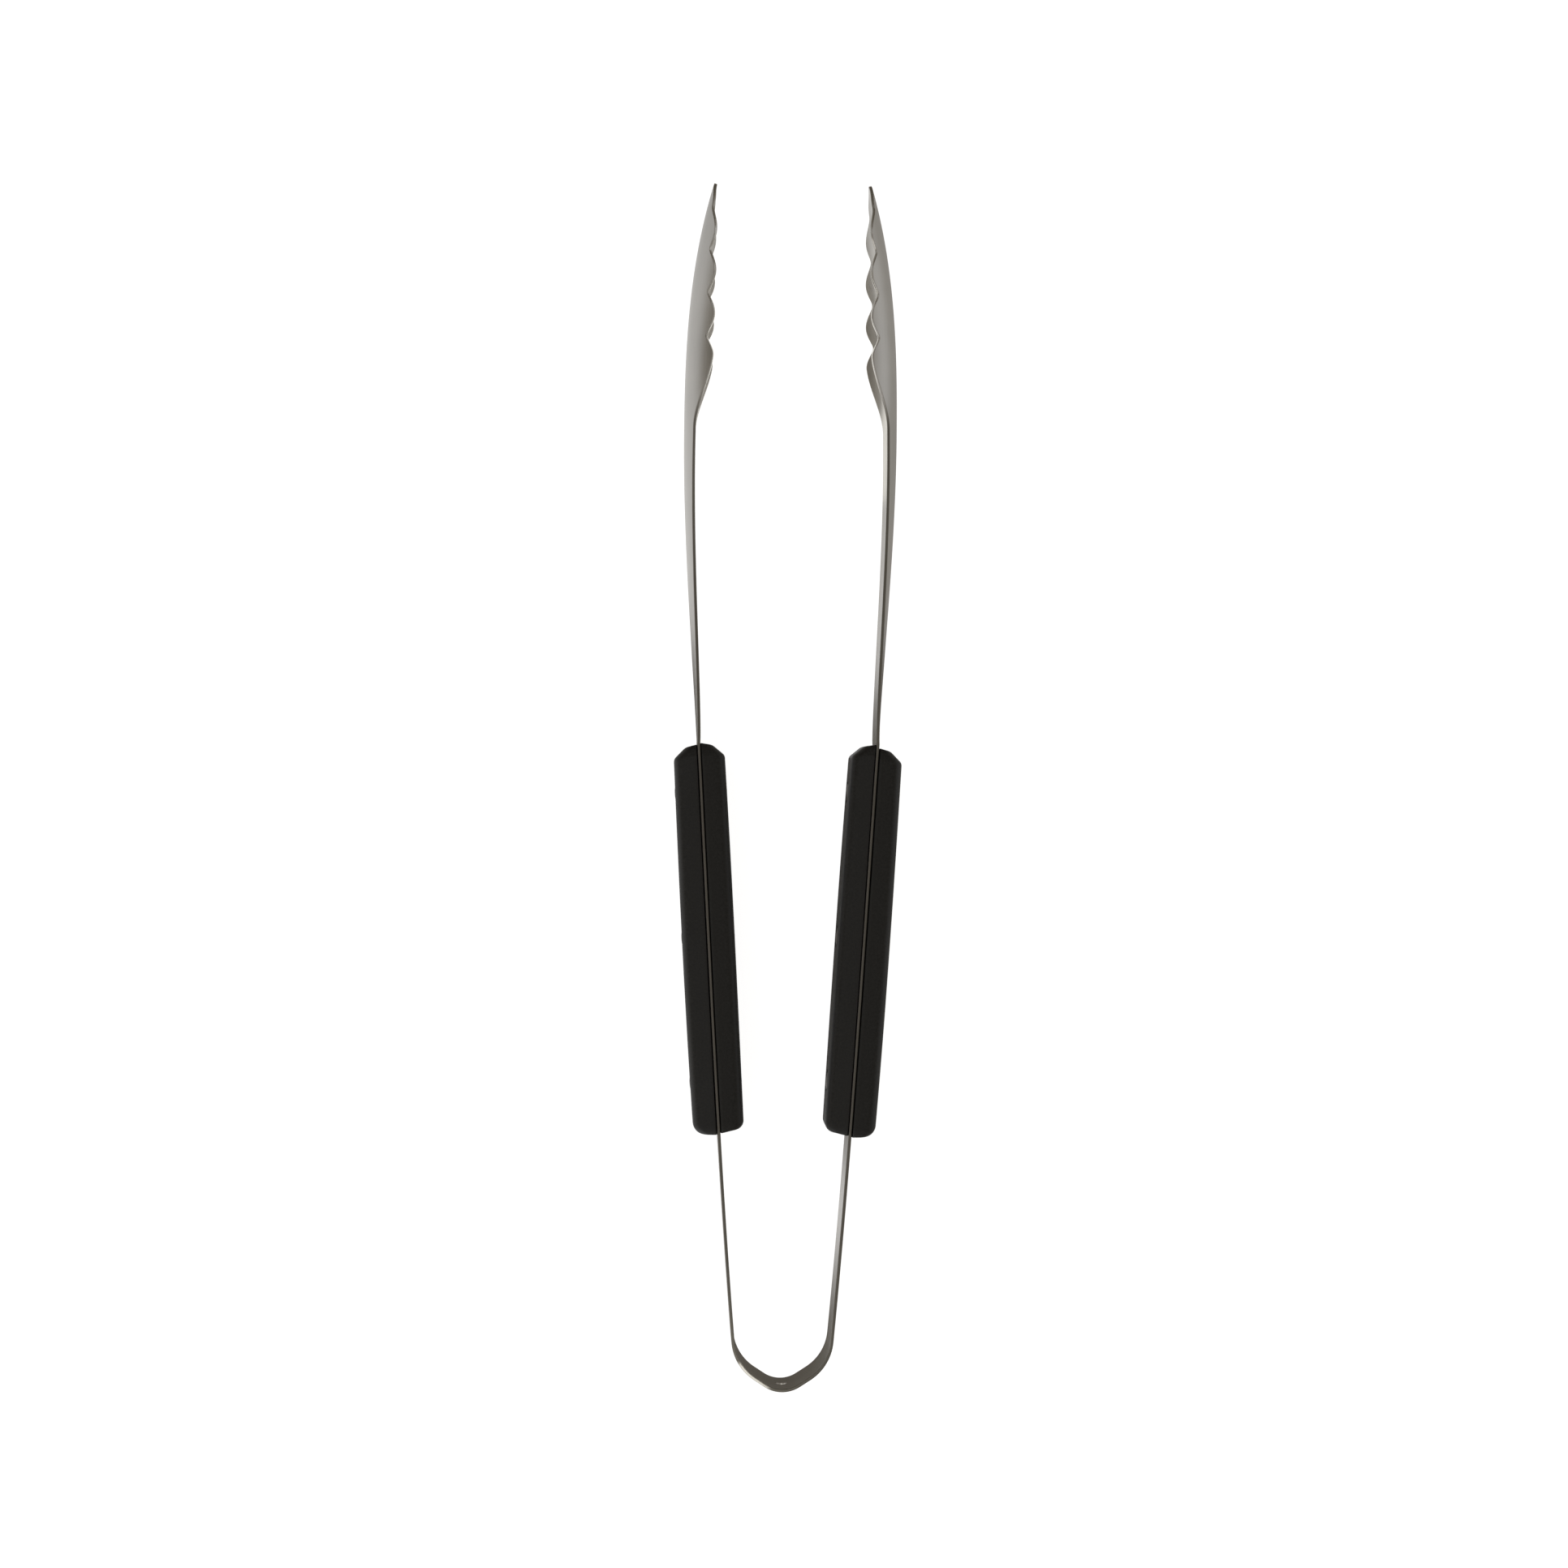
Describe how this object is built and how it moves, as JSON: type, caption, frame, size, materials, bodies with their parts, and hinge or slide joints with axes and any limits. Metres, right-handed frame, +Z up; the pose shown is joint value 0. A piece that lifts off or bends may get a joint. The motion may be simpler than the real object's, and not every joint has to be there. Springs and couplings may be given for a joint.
{
  "type": "spring loaded kitchen tongs",
  "caption": "One-piece sprung steel kitchen tongs with a U bow, black plastic handle scales, crowned arms and scalloped scoop jaws.",
  "frame": {"origin": "bottom centre of the bounding box of the tongs lying on their side with the jaws open", "axes": "+Y from the bow towards the jaws, +X across from the left arm to the right arm, +Z up across the width of the strip"},
  "size_m": [0.0692, 0.3666, 0.0249],
  "materials": {
    "satin_stainless": "satin stainless steel, finely brushed along the strip, darker at its cut edges",
    "rivet_stainless": "satin stainless rivet heads, domed and nearly flush",
    "black_plastic": "satin black moulded plastic with a fine grain"
  },
  "bodies": {
    "bow": {"spring_bow": "satin_stainless"},
    "left_arm": {"left_blade": "satin_stainless", "left_outer_scale": "black_plastic", "left_inner_scale": "black_plastic", "left_rear_rivet_stud": "rivet_stainless", "left_rear_rivet_socket": "rivet_stainless", "left_middle_rivet_stud": "rivet_stainless", "left_middle_rivet_socket": "rivet_stainless", "left_front_rivet_stud": "rivet_stainless", "left_front_rivet_socket": "rivet_stainless"},
    "right_arm": {"right_blade": "satin_stainless", "right_outer_scale": "black_plastic", "right_inner_scale": "black_plastic", "right_rear_rivet_stud": "rivet_stainless", "right_rear_rivet_socket": "rivet_stainless", "right_middle_rivet_stud": "rivet_stainless", "right_middle_rivet_socket": "rivet_stainless", "right_front_rivet_stud": "rivet_stainless", "right_front_rivet_socket": "rivet_stainless"}
  },
  "joints": [
    {"name": "left_arm_flex", "type": "hinge", "parent": "bow", "child": "left_arm", "pos_m": [-0.01639, -0.15126, 0.01244], "axis": [0, 0, -1], "range_deg": [0, 3.9], "stiffness_Nm_per_rad": 7.5},
    {"name": "right_arm_flex", "type": "hinge", "parent": "bow", "child": "right_arm", "pos_m": [0.01639, -0.15126, 0.01244], "axis": [0, 0, 1], "range_deg": [0, 3.9], "stiffness_Nm_per_rad": 7.5}
  ],
  "couplings": [
    {"joint": "right_arm_flex", "follows": "left_arm_flex", "ratio": 1}
  ]
}
